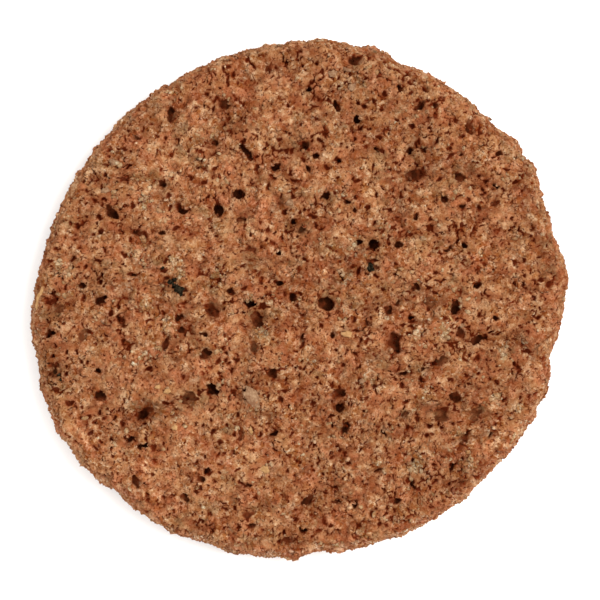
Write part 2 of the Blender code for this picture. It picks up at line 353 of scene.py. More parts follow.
def half_form(count, shares, level_of_face, face_inset):
    """Points in millimetres and triangles of one half: its face, its rows at these shares of the rim's
    thickness, and the lid. The last row is the one that turns in."""
    x, y = disc_grid(count)
    reach, angle = np.hypot(x, y).ravel(), np.arctan2(y, x).ravel()
    radius = reach * (outline_radius(angle) - face_inset)
    face = np.stack([radius * np.cos(angle), radius * np.sin(angle), level_of_face(reach)], 1)

    index = np.arange(count * count).reshape(count, count)
    border = np.concatenate([index[:-1, 0], index[-1, :-1], index[:0:-1, -1], index[0, :0:-1]])
    around = angle[border]
    rows = []
    for k, share in enumerate(shares):
        inset = rim_inset(share) + (TUCK if k == len(shares) - 1 else 0)
        radius = outline_radius(around) - inset
        level = np.full(len(around), share * RIM_THICKNESS)
        rows.append(np.stack([radius * np.cos(around), radius * np.sin(around), level], 1))
    lid = np.array([[0, 0, shares[-1] * RIM_THICKNESS]])
    points = np.concatenate([face] + rows + [lid])

    ring = count * count + np.arange(len(rows) * len(border)).reshape(len(rows), -1)
    ring = np.concatenate([border[None, :], ring])
    ring = np.concatenate([ring, ring[:, :1]], axis=1)
    centre = np.full(len(border), len(points) - 1)
    fan = np.stack([ring[-1, :-1], centre, ring[-1, 1:]], 1)
    return points, np.concatenate([grid_faces(index), grid_faces(ring.T)[:, ::-1], fan[:, ::-1]])


upper_shares = 1 - (1 - WIDEST_SHARE) * np.linspace(0, 1, UPPER_ROWS)[1:] ** UPPER_CROWDING
upper_shares = np.append(upper_shares, WIDEST_SHARE - OVERLAP)
lower_shares = WIDEST_SHARE * np.linspace(0, 1, LOWER_ROWS)[1:] ** LOWER_CROWDING
lower_shares = np.append(lower_shares, WIDEST_SHARE + OVERLAP)
upper_points, upper_faces = half_form(GRID, upper_shares, crown_level, UPPER_EDGE)
lower_points, lower_faces = half_form(GRID, lower_shares, tray_level, LOWER_EDGE)
lower_faces = lower_faces[:, ::-1]
print("upper half", len(upper_faces), "and lower half", len(lower_faces), "triangles before thinning")

# %% [markdown]
# ## Pits that have a place
# The widest pits sit where the photo has them, as in the solid. Each is an oval with a ragged edge. The deep
# ones run down into the dark, and the shallow ones end in a dull floor of crumb that the oven barely
# browned. They are a list of ovals because they are what the eye knows this biscuit by.

# %% Pits that have a place
# Centre x and y, length and width in mm, the way the length points in degrees, depth in mm.
PLACED_PITS = (
    (3.2, -0.5, 1.8, 1.6, 0, 2.0), (9.1, 6.8, 1.4, 1.2, 0, 2.2), (11.7, -5.2, 2.6, 1.4, 100, 1.3),
    (16.0, -0.2, 1.8, 1.4, 150, 0.6), (19.2, -0.9, 1.7, 1.0, 80, 1.5), (21.8, -4.9, 2.2, 0.9, 20, 1.1),
    (17.3, -7.5, 2.2, 1.2, 30, 0.5), (19.3, -12.1, 1.6, 1.3, 0, 1.2), (4.7, -11.5, 1.8, 1.1, 15, 0.9),
    (17.3, -14.3, 2.2, 1.4, 160, 0.5), (21.8, -14.0, 2.4, 1.2, 60, 0.6), (20.3, -17.4, 2.8, 0.8, 62, 0.8),
    (1.0, -24.7, 2.2, 0.9, 42, 1.1), (11.8, -24.8, 1.8, 0.7, 10, 1.0), (14.3, 15.4, 2.8, 1.4, 15, 0.9),
    (19.7, 15.2, 1.5, 1.2, 170, 0.9), (4.6, 24.0, 1.5, 0.8, 110, 1.2), (7.0, 29.6, 2.2, 1.2, 5, 0.9),
    (14.8, 24.0, 1.6, 0.8, 35, 1.3), (21.0, 21.2, 2.0, 0.9, 105, 0.9), (-7.5, 13.0, 1.5, 1.2, 160, 1.8),
    (-10.2, 11.0, 1.8, 1.3, 110, 1.8), (-23.2, 10.8, 2.2, 1.2, 125, 1.5), (-6.7, 18.2, 2.6, 0.9, 130, 1.2),
    (-16.0, 23.0, 2.0, 1.0, 82, 1.2), (-5.3, -2.4, 2.2, 1.3, 120, 1.0), (-10.8, -1.4, 2.0, 1.3, 125, 0.9),
    (-16.6, -5.5, 1.8, 0.9, 60, 0.9), (-10.8, -10.9, 1.9, 1.3, 140, 2.2), (-13.6, -12.2, 2.0, 1.5, 110, 0.7),
    (-19.2, -14.0, 2.4, 1.1, 40, 1.2), (-24.7, -11.8, 1.6, 1.1, 145, 1.1), (-24.6, 0.0, 1.5, 1.0, 30, 1.3),
    (-29.7, -1.0, 1.6, 1.2, 150, 0.3), (-26.8, -4.5, 2.0, 1.0, 60, 0.6), (-7.2, -16.2, 2.2, 0.8, 80, 0.6),
    (-6.2, -26.3, 2.0, 0.9, 15, 0.5), (-3.3, -9.0, 1.3, 1.1, 0, 1.2), (12.1, 6.8, 1.1, 0.9, 0, 1.5),
    (18.3, 6.3, 1.0, 0.6, 0, 0.9), (20.3, 6.7, 0.7, 0.7, 0, 1.4), (21.8, 1.7, 1.2, 0.7, 35, 1.7),
    (14.3, 1.6, 1.0, 0.9, 0, 1.1), (12.2, -0.3, 0.6, 0.6, 0, 1.0), (11.0, -1.2, 1.3, 0.9, 60, 1.0),
    (17.7, 12.4, 1.0, 0.9, 0, 1.3), (24.0, 12.0, 1.2, 0.7, 0, 0.8), (24.3, 14.0, 0.9, 0.6, 0, 1.5),
    (20.0, 11.6, 0.6, 0.6, 0, 0.9), (3.0, 12.8, 1.5, 0.8, 40, 1.4), (5.8, 12.1, 1.0, 0.8, 0, 1.2),
    (6.8, 11.0, 0.9, 0.5, 0, 0.9), (14.2, 10.2, 0.7, 0.7, 0, 0.9), (7.0, 22.3, 1.2, 0.8, 70, 1.6),
    (1.2, 26.0, 0.9, 0.6, 0, 1.3), (12.4, 26.3, 1.3, 0.8, 150, 1.1), (16.6, 24.0, 0.8, 0.7, 0, 0.9),
    (13.5, 18.4, 1.0, 0.8, 75, 1.4), (15.2, 18.3, 0.8, 0.7, 0, 0.8), (9.5, 18.5, 0.9, 0.4, 0, 1.2),
    (0.5, 19.0, 1.2, 0.8, 50, 1.2), (2.1, 18.0, 0.8, 0.6, 0, 1.6), (4.7, 17.2, 0.9, 0.5, 0, 1.3),
    (1.0, 16.2, 1.0, 0.4, 110, 1.0), (24.5, 18.2, 0.9, 0.6, 0, 1.0), (28.3, 15.5, 1.0, 0.6, 0, 0.8),
    (7.2, 7.2, 0.8, 0.5, 0, 1.5), (-9.4, 24.3, 1.3, 1.1, 150, 0.9), (-10.5, 19.5, 0.8, 0.8, 0, 1.1),
    (-3.0, 16.5, 1.2, 0.8, 60, 1.3), (-14.5, 11.0, 1.2, 1.0, 0, 1.4), (-20.0, 8.3, 1.5, 0.9, 165, 1.0),
    (-17.0, 8.3, 0.8, 0.8, 0, 1.1), (-17.0, 14.3, 1.1, 0.9, 0, 1.0), (-7.3, 9.8, 1.0, 0.8, 0, 0.9),
    (-6.2, 6.5, 1.7, 0.6, 130, 0.4), (-2.5, 2.0, 1.0, 0.8, 0, 1.5), (-8.5, 1.0, 1.3, 1.0, 0, 1.2),
    (-6.1, -0.4, 1.4, 1.0, 10, 1.8), (-27.0, 1.8, 0.8, 0.8, 0, 1.1), (-20.8, 3.2, 1.3, 0.3, 170, 1.1),
    (-20.3, 20.0, 0.7, 0.7, 0, 0.7), (-3.8, 28.8, 1.3, 0.8, 60, 0.4), (-0.7, 9.7, 0.8, 0.8, 0, 1.3),
    (-2.7, 5.7, 0.8, 0.6, 0, 1.3), (-0.7, 0.3, 0.9, 0.9, 0, 1.4), (-30.8, -4.2, 1.0, 0.8, 0, 1.7),
    (-22.0, -2.6, 1.8, 0.9, 110, 0.8), (-5.7, -5.8, 1.6, 1.0, 110, 0.5), (-14.5, -3.8, 1.4, 0.6, 170, 0.9),
    (-14.9, -2.1, 0.9, 0.7, 0, 1.1), (-11.8, -4.3, 1.0, 0.8, 0, 1.1), (-11.7, -6.7, 1.3, 1.0, 20, 1.1),
    (-25.0, -8.8, 0.9, 0.7, 0, 1.4), (-19.5, -18.1, 1.4, 0.6, 15, 1.7), (-21.0, -17.2, 1.3, 0.6, 35, 1.2),
    (-3.2, -16.5, 1.0, 0.6, 40, 1.5), (-8.2, -18.7, 0.9, 0.7, 0, 0.5), (-11.5, -21.1, 0.9, 0.8, 0, 1.4),
    (-12.2, -22.2, 1.2, 0.9, 0, 0.8), (-20.2, -22.5, 1.8, 0.8, 105, 1.0), (-14.2, -24.5, 1.5, 0.9, 140, 1.0),
    (-6.7, -23.0, 2.0, 0.5, 10, 0.8), (-6.0, -28.0, 1.0, 0.5, 0, 0.9), (-1.5, -29.7, 2.0, 0.8, 10, 0.6),
    (0.5, -28.4, 1.0, 0.8, 0, 1.3), (4.0, -4.2, 1.2, 0.5, 80, 1.1), (0.3, -4.8, 1.4, 0.4, 75, 1.0),
    (8.3, -2.8, 1.0, 0.5, 110, 0.6), (13.8, -2.0, 0.7, 0.5, 0, 1.4), (19.8, -4.0, 1.3, 0.9, 130, 0.8),
    (24.2, -2.3, 0.7, 0.7, 0, 1.2), (12.7, -9.0, 0.9, 0.6, 0, 1.1), (24.8, -11.7, 0.9, 0.6, 100, 0.8),
    (5.0, -13.4, 1.0, 0.9, 0, 1.4), (23.4, -16.5, 0.8, 0.4, 60, 1.3), (13.0, -14.2, 1.0, 0.8, 0, 0.8),
    (5.5, -15.8, 1.4, 0.8, 60, 1.2), (10.5, -16.5, 1.6, 0.5, 140, 0.8), (9.7, -21.0, 1.2, 0.5, 30, 0.9),
    (18.8, -20.8, 1.2, 0.5, 65, 1.2), (13.9, -22.8, 1.0, 0.5, 75, 1.2), (20.3, -22.7, 1.6, 1.0, 20, 0.6),
    (4.4, -24.9, 1.0, 0.6, 0, 1.1), (6.7, -25.2, 1.2, 0.6, 80, 1.0),
)
# Where the crumb is a dull olive brown, and round the bran: x and y, length and width in mm, degrees.
DULL_PLACES = (
    (0.6, 9.0, 3.2, 1.6, 40), (4.5, 1.9, 1.4, 2.4, 0), (-4.1, 3.2, 1.6, 1.6, 0), (-1.0, 4.6, 1.2, 1.0, 0),
    (-6.0, -3.9, 1.4, 2.0, 0), (12.6, -14.1, 1.8, 1.4, 0), (14.5, -8.3, 1.8, 1.4, 0),
    (-17.7, 4.4, 1.2, 1.2, 0), (-30.1, -9.0, 2.0, 2.6, 0), (-15.6, 1.6, 3.6, 2.6, 150),
    (8.7, 4.0, 1.6, 1.8, 0), (-1.8, 12.3, 2.0, 1.6, 0),
)
# In half widths of the pit: where its wall ends and how thick it is, then where its dish ends and how far
# it takes to fade.
PIT_EDGE = 1.10
PIT_WALL = 0.26
DISH_REACH = 2.4
DISH_FADE = 1.4
# In mm: the dish's depth, and the pits with a dull floor, no deeper than this and at least so wide.
DISH_DEPTH = 0.25
DULL_DEPTH = 0.7
DULL_WIDTH = 1.0
# How much a floor leans, and by how many radians its lean turns from one pit to the next. Its high side has
# this share of the depth for each mm of it, and at most the second.
LEAN = 0.9
GOLDEN_TURN = 2.4
HIGH_SIDE = (0.38, 0.8)
# A pit's painted shade: with no depth, more for each mm, and at most. Then the floor's share, more where
# low.
PIT_PAINTED_SHADE = (0.35, 0.45, 1.15)
FLOOR_PAINTED_SHADE = (0.35, 0.75)
# How dull: a wide shallow pit, any other, and a dull place, which fades over this many half widths.
DULLNESS = (1.0, 0.4, 0.9)
DULL_FADE = 0.5


def smooth_step(low, high, value):
    """0 below low, 1 above high, and s*s*(3 - 2s) between."""
    s = np.clip((value - low) / (high - low), 0, 1)
    return s * s * (3 - 2 * s)


def own_axes(points, x, y, turned):
    """Along and across: each point's offset from x, y, turned into the axes of an oval whose length points
    at this many degrees."""
    turn = math.radians(turned)
    off_x, off_y = points[:, 0] - x, points[:, 1] - y
    along = off_x * math.cos(turn) + off_y * math.sin(turn)
    return along, off_y * math.cos(turn) - off_x * math.sin(turn)


def placed_pits(points):
    """The deepest of the placed pits at each point in mm, and how much painted shade and how dull it is,
    from 0 to about 1. In a pit's own axes the distance is the root of (along / half length) squared plus
    (across / half width) squared. Its floor leans, so one side is deeper, and a shallow dish leads down to
    its lip. A deeper pit gets more painted shade, and a wide shallow one is dull."""
    depth, painted_pit_shade, dull = np.zeros((3, len(points)), np.float32)
    for k, (x, y, length, width, turned, deep) in enumerate(PLACED_PITS):
        near = np.flatnonzero(np.hypot(points[:, 0] - x, points[:, 1] - y) < DISH_REACH * length / 2)
        along, across = own_axes(points[near], x, y, turned)
        away = np.sqrt((2 * along / length) ** 2 + (2 * across / width) ** 2)
        uphill = along * math.cos(GOLDEN_TURN * k) + across * math.sin(GOLDEN_TURN * k)
        lean = np.clip(LEAN + LEAN * uphill / width, min(HIGH_SIDE[1], HIGH_SIDE[0] * deep), 1)
        into = smooth_step(0, PIT_WALL, PIT_EDGE - away)
        dish = smooth_step(0, DISH_FADE, DISH_REACH - away) * min(1, deep)
        shade = min(PIT_PAINTED_SHADE[2], PIT_PAINTED_SHADE[0] + PIT_PAINTED_SHADE[1] * deep)
        dullness = DULLNESS[0] if deep <= DULL_DEPTH and width >= DULL_WIDTH else DULLNESS[1]
        depth[near] = np.maximum(depth[near], deep * into * lean + DISH_DEPTH * dish)
        painted_pit_shade[near] = np.maximum(painted_pit_shade[near], into * shade * (FLOOR_PAINTED_SHADE[0] + FLOOR_PAINTED_SHADE[1] * lean))
        dull[near] = np.maximum(dull[near], into * dullness)
    for x, y, length, width, turned in DULL_PLACES:
        along, across = own_axes(points, x, y, turned)
        away = np.sqrt((2 * along / length) ** 2 + (2 * across / width) ** 2)
        dull = np.maximum(dull, DULLNESS[2] * smooth_step(0, DULL_FADE, PIT_EDGE - away))
    return depth, painted_pit_shade, dull


print(len(PLACED_PITS), "placed pits,", len(DULL_PLACES), "dull places")

# %% [markdown]
# ## Where it baked darker
# The oven didn't treat the face alike. Where gas gathered, the crumb is open and dark, and where flour lay
# thick it is close and pale. Noise alone would put such patches anywhere, so the ones that the photo shows
# are ovals in a list. They set how many chinks there are, and tint the colour a little.

# %% Where it baked darker
# Centre x and y, length and width in mm, the way the length points in degrees, and how pale: below 0 is
# darker.
TONES = (
    (-20.0, -8.0, 5, 3, 30, 0.9), (-14.0, -16.0, 5, 4, 60, 0.7), (-8.5, -19.5, 6, 2.5, 20, 1.0),
    (-18.5, -20.5, 5, 3, 150, 1.0), (-26.0, -18.0, 7, 3, 130, 0.9), (-17.5, -25.0, 7, 3, 150, 0.8),
    (-9.0, -4.0, 3, 3, 0, 1.0), (-18.0, -3.5, 4, 2, 140, 0.7), (-27.0, -2.2, 2, 3.5, 0, 0.8),
    (-20.0, 1.0, 4, 2, 160, 0.6), (-3.7, 21.8, 4, 2.5, 0, 0.6), (-9.0, 16.0, 4, 2, 50, 0.7),
    (-4.5, 11.0, 2, 6, 0, 0.7), (-16.5, 17.5, 5, 5, 0, 0.5), (-13.0, 23.0, 2.5, 4, 0, 0.7),
    (-19.0, 13.0, 3, 5, 0, 0.6), (2.5, 3.5, 2.5, 5, 150, 0.8), (14.5, 5.0, 6, 4, 0, 0.4),
    (22.0, 5.0, 3, 3, 0, 0.6), (26.0, -1.2, 3, 3, 0, 0.6), (8.7, -26.0, 3, 3, 0, 0.6),
    (26.0, -16.5, 6, 3, 40, 0.9), (-2.0, 26.5, 3, 4, 0, 0.4), (3.5, -7.0, 3, 5, 0, 0.4),
    (-23.0, 5.5, 6, 3, 0, 0.4), (-13.0, 8.0, 3, 5, 150, 0.5), (8.5, 13.0, 4, 3, 0, 0.3),
    (9.0, 7.0, 4, 3.5, 0, -1.2), (-5.4, -1.6, 4, 3, 110, -1.2), (-15.8, 1.8, 3, 2, 150, -0.8),
    (-30.5, -1.0, 4, 3, 80, -1.2), (-31.0, -8.0, 4, 8, 0, -1.2), (-25.0, 2.5, 2.5, 6, 0, -0.7),
    (-23.0, 13.5, 3, 8, 0, -0.5), (-8.2, 21.5, 2, 7, 15, -0.8), (-1.0, 19.2, 6, 2, 20, -0.9),
    (0.0, 9.2, 5, 3, 0, -0.7), (7.6, 21.8, 2.5, 4, 20, -0.8), (-2.5, 29.6, 8, 2.5, 10, -0.8),
    (1.6, 26.5, 2, 6, 160, -0.5), (14.2, 15.4, 5, 3.5, 20, -1.1), (14.8, 20.0, 5, 4, 60, -0.7),
    (20.5, 15.5, 9, 3, 150, -0.5), (27.5, 8.7, 7, 2, 20, -0.6), (18.2, 7.2, 3, 4, 20, -0.6),
    (7.0, 3.7, 6, 2, 0, -0.6), (14.5, 1.4, 5, 2, 140, -0.7), (22.5, -4.6, 8, 2.5, 0, -1.0),
    (26.5, -6.5, 3, 8, 160, -0.7), (14.0, -8.7, 9, 2.2, 15, -0.7), (17.2, -14.0, 6, 4, 30, -1.0),
    (19.0, -21.5, 3, 4, 0, -0.8), (15.0, -24.0, 3, 5, 0, -0.6), (4.8, -13.5, 2.2, 7, 0, -0.9),
    (3.7, -22.5, 3, 6, 150, -0.6), (-12.0, -11.3, 8, 2.5, 15, -0.8), (-19.0, -14.0, 5, 3, 20, -1.0),
    (-17.5, -7.2, 6, 2, 45, -0.7), (-1.3, -29.0, 4, 3, 30, -0.8), (8.0, 29.5, 12, 3, 0, -0.5),
    (7.5, 25.0, 9, 5, 0, -0.4), (10.0, -18.0, 12, 4, 150, -0.4), (-12.5, -28.0, 6, 2, 160, -0.5),
    (0.2, 30.5, 4, 2, 0, -0.8), (15.8, 28.2, 3, 2.5, 150, -0.8), (25.3, 14.2, 3, 3, 0, -0.7),
    (28.7, -1.2, 3, 4, 90, -0.7), (15.3, -8.9, 4, 2, 15, -0.6), (12.1, 22.5, 3, 3, 0, -0.7),
    (-21.2, 17.8, 3, 3, 0, -0.7), (-18.9, -8.7, 3, 2, 40, -0.6), (18.7, 23.6, 3, 3, 0, -0.6),
    (22.7, -0.9, 2.5, 2.5, 0, -0.5), (-27.0, 9.2, 3, 3, 0, -0.6), (16.5, 8.0, 3, 2.5, 0, -0.6),
    (-24.3, 4.2, 3, 3, 0, -0.5), (25.4, -13.2, 2.5, 3, 0, -0.5), (15.2, -21.5, 3, 3, 0, -0.6),
    (28.5, 10.2, 3, 3, 0, -0.5), (1.4, -8.6, 2.5, 2.5, 0, -0.5), (1.8, -18.9, 3, 3, 0, -0.5),
    (-1.6, 13.2, 2.5, 2.5, 0, -0.5), (-7.8, 25.6, 3, 3, 0, 0.8), (8.8, -5.5, 3, 2.5, 0, 0.8),
    (-22.5, -24.0, 5, 3, 135, 0.8), (-0.8, -32.0, 6, 2, 0, 0.8), (22.7, -18.2, 3.5, 3, 0, 0.8),
    (-18.7, -19.3, 3, 2.5, 0, 0.5), (-11.1, -9.0, 3, 2.5, 0, 0.8), (30.8, -9.5, 3, 4, 70, 0.8),
    (2.3, -28.1, 3, 2.5, 0, 0.7), (-18.9, 6.7, 3, 2.5, 0, 0.7), (-7.8, -29.7, 5, 2.5, 0, 0.7),
    (-15.6, -12.9, 2.5, 2, 0, 0.6), (-3.3, 7.1, 2.5, 3, 0, 0.6), (6.3, -11.1, 2.5, 2.5, 0, 0.6),
    (-25.5, 18.8, 3, 3, 0, 0.6), (-16.8, 25.2, 4, 3, 0, 0.6), (5.6, -26.6, 3, 2.5, 0, 0.6),
    (-15.1, -1.3, 2.5, 2, 0, 0.6), (-29.4, -17.6, 4, 3, 120, 0.6), (18.9, 1.0, 2.5, 2, 0, 0.5),
)
STRONGEST_TONE = 1.2


def tone_at(points):
    """The sum of the broad patches: each is its strength times a bell curve in its own axes."""
    total = np.zeros(len(points), np.float32)
    for x, y, length, width, turned, pale in TONES:
        along, across = own_axes(points, x, y, turned)
        total += pale * np.exp(-((2 * along / length) ** 2 + (2 * across / width) ** 2))
    return np.clip(total, -STRONGEST_TONE, STRONGEST_TONE)


print(len(TONES), "broad patches")

# %% [markdown]
# ## Swells, clumps and granules
# Three things raise the surface. Slow swells are where the dough lay thick or thin. Clumps of 3 mm pulled
# apart as it spread, with clefts between them. Granules of 1 and 0.5 mm are flour and ground oats stuck
# together, with creases where two meet. All are heights along the normal, so they run on over the rim.

# %% Swells, clumps and granules
# Size in mm, and how high it stands in mm.
SLOW = (9.0, 0.18)
LUMP = (2.4, 0.34)
KNOB = (1.3, 0.29)
CLUMP = (2.8, 0.64)
COARSE = (1.05, 0.30)
FINE = (0.52, 0.11)
# Width in sides of its lattice's cubes and depth in mm, then the size in mm of the patches that have it.
CLEFT = (0.26, 0.34)
CREASE = (0.12, 0.16)
CLEFT_PATCH = 3.1
CREASE_PATCH = 1.6
# Noise of a size in mm that pushes points by up to so many mm, from slow to fine.
CLUMP_PUSH = ((2.4, 0.50), (0.9, 0.30), (0.4, 0.14), (0.2, 0.06))
CRUMB_PUSH = ((1.1, 0.26), (0.45, 0.18), (0.22, 0.10))
# The last number in every call for noise is its salt, which makes it unlike the others.


def ragged(points, pushes, salt):
    """The points pushed about by noise, so that what is worked out from them gets ragged edges."""
    pushed = points.copy()
    for size, push in pushes:
        pushed += push * np.stack([rolling(points, size, salt + k) for k in range(3)], axis=1)
        salt += 3
    return pushed


def granular(points, pushed):
    """Heights in mm, and where the clefts and creases are. A granule's height falls off with the distance to
    its point. A crease lies where the nearest point and the next are about as far away. Fine is how high the
    finest granules stand, and spread is how much farther the third point is than the nearest."""
    first, second, third = granules(pushed, COARSE[0], 50)
    fine, _, _ = granules(pushed, FINE[0], 60)
    slow = sum(high * rolling(points, size, 70 + k) for k, (size, high) in enumerate((SLOW, LUMP, KNOB)))
    patchy = smooth_step(-0.3, 0.4, rolling(points, CREASE_PATCH, 79))
    crease = patchy * (1 - smooth_step(0.02, CREASE[0], second - first))
    clump, beside, _ = granules(ragged(points, CLUMP_PUSH, 10), CLUMP[0], 55)
    patchy = smooth_step(-0.3, 0.5, rolling(points, CLEFT_PATCH, 78))
    cleft = patchy * (1 - smooth_step(0.0, CLEFT[0], beside - clump))
    lumps = CLUMP[1] * (0.5 - clump) - CLEFT[1] * cleft
    grains = COARSE[1] * (0.5 - first) + FINE[1] * (0.5 - fine) - CREASE[1] * crease
    return {"slow": slow, "lumps": lumps, "grains": grains, "fine": 0.5 - fine, "spread": third - first,
            "crease": crease, "cleft": cleft}


print("granules of", COARSE[0], "and", FINE[0], "mm in clumps of", CLUMP[0], "mm")

# %% [markdown]
# ## Chinks and burst bubbles
# Where three granules meet, a chink is left open, and gas that burst through the skin leaves round holes of
# 0.2 to 1 mm. In the dark patches of the face there are more chinks, and the holes are darker. All are cut
# into the one surface and not modelled one by one, because there are thousands of them.

# %% Chinks and burst bubbles
# Lattice in mm, share of its cubes that hold one, least and most radius in mm, stretch, and salt.
WIDE_HOLES = (2.3, 0.35, 0.30, 0.60, 1.8, 80)
NARROW_HOLES = (0.9, 0.85, 0.14, 0.44, 2.1, 90)
PINHOLES = (0.6, 0.80, 0.09, 0.24, 1.8, 100)
# For wide, narrow, pinhole and chink: how much of the way in is wall, its painted shade, and its depth in
# mm.
HOLE_WALL = (0.5, 0.6, 0.6, 0.12)
HOLE_PAINTED_SHADE = (0.9, 0.8, 0.75, 0.75)
HOLE_CUT = (1.0, 0.5, 0.3, 0.3)
# A chink is open where the third granule is less than this much farther than the first, in cube sides. Noise
# changes that, slowly and quickly, each over a size in mm and by so much, and so does the tone.
GAP = 0.03
SLOW_GAP = (2.2, 0.13)
QUICK_GAP = (0.8, 0.26)
TONE_GAP = 0.12
FAINTER_IN_PALE = 0.25


def small_holes(points, pushed, spread, tone, on_upper_face):
    """The painted shade of the small holes, from 0 to about 1, and how deep they cut in mm. The wide ones
    are only on the rim and the underside, because the upper face has its placed pits."""
    crowd = SLOW_GAP[1] * rolling(points, SLOW_GAP[0], 73) - TONE_GAP * tone
    gap = GAP + QUICK_GAP[1] * rolling(points, QUICK_GAP[0], 75) + crowd
    into = (
        bubbles(pushed, *WIDE_HOLES) * (1 - on_upper_face),
        bubbles(pushed, *NARROW_HOLES),
        bubbles(pushed, *PINHOLES),
        gap - spread,
    )
    wide, narrow, pinhole, chink = (smooth_step(0, wall, inner) for wall, inner in zip(HOLE_WALL, into))
    fainter = 1 - FAINTER_IN_PALE * tone
    kinds = (wide, narrow * fainter, pinhole * fainter, chink)
    hollow = np.maximum.reduce([share * kind for share, kind in zip(HOLE_PAINTED_SHADE, kinds)])
    cut = np.maximum.reduce([deep * kind for deep, kind in zip(HOLE_CUT, kinds)])
    return hollow, cut


print("pinholes from", 2 * PINHOLES[2], "mm wide, wide holes up to", 2 * WIDE_HOLES[3], "mm")

# %% [markdown]
# ## The whole relief
# Swells, granules, holes and the placed pits are put together here. A pit's floor is smoother than the face
# round it. At the rim the slow parts are weaker, so the outline keeps its measured course, and small teeth
# What lies deep, dull or in a crease is kept as marks, which the colours read later. Deep places, creases
# and low places get painted shade from them.

# %% The whole relief
# Noise that makes the placed pits ragged: size and push in mm.
PIT_PUSH = ((0.9, 0.20), (0.42, 0.15), (0.21, 0.10))
# How much of the height a pit's floor and the rim's slow parts lose, and how high the rim's teeth are in mm.
PIT_CALM = 0.25
RIM_CALM = 0.55
RIM_TEETH = 0.30
# How far below the middle level the painted shade of a low place begins and is full, in mm.
LOW_SHADE_DEPTHS = (0.00, 0.36)
# A pit's painted shade is mottled: size in mm, mean, how much it varies, and how much more in a dull pit.
MOTTLE_SIZE = 0.5
MOTTLE_MEAN = 0.85
MOTTLE = 0.45
DULL_MOTTLE = 0.35


def relief(points, on_upper_face, at_rim):
    """Height along the normal in mm, and marks for the colours: tone from -1.2 to 1.2, the others from 0 to
    about 1."""
    pushed = ragged(points, CRUMB_PUSH, 40)
    crumb = granular(points, pushed)
    height = (1 - RIM_CALM * at_rim) * (crumb["slow"] + crumb["lumps"]) + crumb["grains"]
    height = height + RIM_TEETH * at_rim * crumb["fine"]

    tone = tone_at(points) * on_upper_face
    hollow, cut = small_holes(points, pushed, crumb["spread"], tone, on_upper_face)
    depth, painted_pit_shade, dull = placed_pits(ragged(points, PIT_PUSH, 20))
    cut = np.maximum(cut, depth * on_upper_face)
    mottled = MOTTLE_MEAN + (MOTTLE + DULL_MOTTLE * dull) * rolling(points, MOTTLE_SIZE, 74)
    # Painted shade marks: holes and pits, creases and clefts, low places. Dull and tone are the crumb's own.
    marks = {
        "hollow": np.maximum(hollow, painted_pit_shade * on_upper_face * mottled),
        "crease": np.maximum(crumb["crease"], 0.8 * crumb["cleft"]),
        "dull": dull * on_upper_face,
        "tone": tone,
        "low_place": smooth_step(*LOW_SHADE_DEPTHS, -crumb["lumps"] - crumb["grains"]),
    }
    return height * (1 - PIT_CALM * np.minimum(cut, 1)) - cut, marks


print("the rim keeps", round(1 - RIM_CALM, 2), "of the slow relief")

# %% [markdown]
# ## The crumb's two halves
# Each bare half is moved along its normals by the relief, and then thinned: the fine grid is needed to shape
# the granules, but flat bits of crumb need few triangles to look the same. The underside was pressed flat by
# its tray, so nothing there may stand below it. Together the halves replace the solid's node.

# %% The crumb's two halves
MOST_TRIANGLES = 190000
# In mm: how far the relief's middle level lies inside the bare form, and how much the tray presses it in.
SET_IN = 0.19
TRAY_PRESS = 0.1
# Where a face begins and is full, as the normal's height; then how far in from the outline the calmer relief
# of the rim, and its painted light, are full and end, in mm.
UPPER_FACE = (0.3, 0.8)
TRAY_FACE = (0.3, 0.9)
CALM_RIM = (0.2, 1.8)
PAINTED_RIM_LIGHT = (0.1, 1.5)


def keep_marks(made, marks):
    """Stores each mark as a number at every point of the mesh, where a shader can read it."""
    for mark, value in marks.items():
        kept = made.data.attributes.new(mark, "FLOAT", "POINT")
        kept.data.foreach_set("value", value.astype(np.float32))


def thin_out(made, share):
    """Keeps this share of the triangles, by merging them where the surface is flattest."""
    thinning = made.modifiers.new("thinning", "DECIMATE")
    thinning.ratio = share
    graph = bpy.context.evaluated_depsgraph_get()
    thinned = bpy.data.meshes.new_from_object(made.evaluated_get(graph))
    made.modifiers.clear()
    made.data = thinned


def point_normals(points, faces):
    """The sum of the normals of the triangles round each point, made one long."""
    a, b, c = (points[faces[:, k]] for k in range(3))
    normal = np.cross(b - a, c - a)
    total = np.stack([
        sum(np.bincount(faces[:, k], normal[:, axis], len(points)) for k in range(3))
        for axis in range(3)
    ], axis=1)
    return total / np.maximum(np.linalg.norm(total, axis=1, keepdims=True), 1e-12)


def baked_half(name, points, faces, is_upper):
    """The half with its relief, as an object, and its skin: each point's place, normal and marks."""
    normals = point_normals(points, faces)
    on_upper_face = smooth_step(*UPPER_FACE, normals[:, 2]) if is_upper else np.zeros(len(points))
    angle = np.arctan2(points[:, 1], points[:, 0])
    within = outline_radius(angle) - np.hypot(points[:, 0], points[:, 1])
    height, marks = relief(points - MIDDLE, on_upper_face, 1 - smooth_step(*CALM_RIM, within))
    if not is_upper:
        height = height - TRAY_PRESS * smooth_step(*TRAY_FACE, -normals[:, 2])
    moved = points + normals * (height - SET_IN)[:, None] - MIDDLE
    moved[-1] = points[-1] - MIDDLE
    moved[:, 2] = np.maximum(moved[:, 2], 0)

    # Painted light on the rim: most where it faces the bottom of the picture, and 0.3 of that elsewhere.
    facing_down = smooth_step(-0.1, 0.7, -np.sin(angle))
    marks["rim"] = (1 - smooth_step(*PAINTED_RIM_LIGHT, within)) * (0.3 + 0.7 * facing_down)
    made = mesh_object(name, moved * MM, faces)
    keep_marks(made, marks)
    if len(faces) > MOST_TRIANGLES:
        thin_out(made, MOST_TRIANGLES / len(faces))
    made.data.name = name
    print(name, len(made.data.polygons), "triangles, highest", round(moved[:, 2].max(), 2), "mm")
    return made, {"place": moved, "normal": normals} | marks


